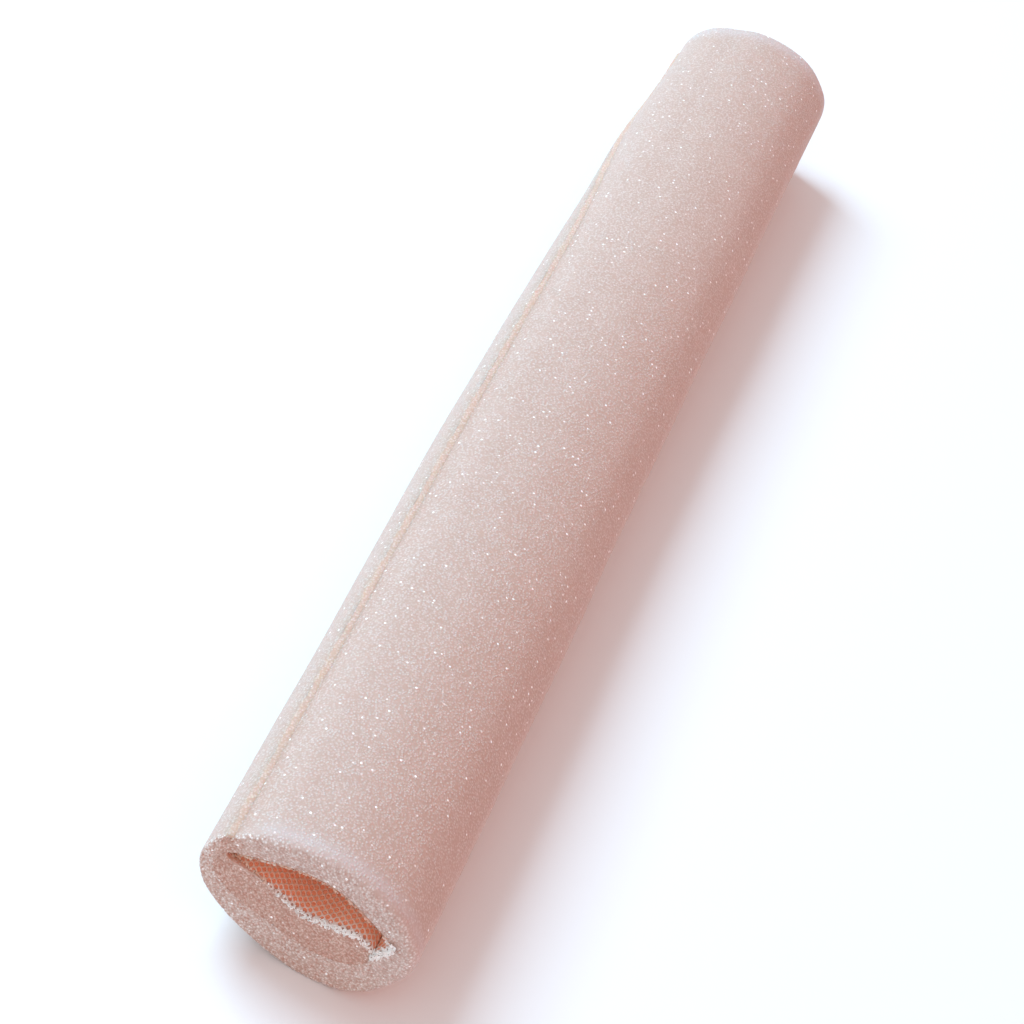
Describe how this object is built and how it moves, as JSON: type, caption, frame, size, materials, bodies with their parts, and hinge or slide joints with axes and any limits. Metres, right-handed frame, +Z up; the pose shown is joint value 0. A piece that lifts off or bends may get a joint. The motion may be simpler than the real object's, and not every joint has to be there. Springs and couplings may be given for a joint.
{
  "type": "rolled foam tube",
  "caption": "Soft open-cell foam strip with a fine knit lining, rolled into a flattened tube with a tucked inner flap and a bonded lengthwise seam.",
  "frame": {"origin": "on the resting plane, under the middle of the tube", "axes": "+Y along the tube towards its far end, +Z up from the resting face, +X to the right when the near end is faced, away from the seam"},
  "size_m": [0.0354, 0.25, 0.0244],
  "materials": {
    "foam": "matte pale pink open-cell foam with fine glinting cell walls",
    "knit": "matte peach mesh knit with white frayed cut edges",
    "adhesive": "dried peach adhesive, slightly translucent"
  },
  "bodies": {
    "root": {"foam_sheet": "foam", "knit_lining": "knit", "flap_adhesive": "adhesive", "seam_adhesive": "adhesive"}
  },
  "joints": []
}
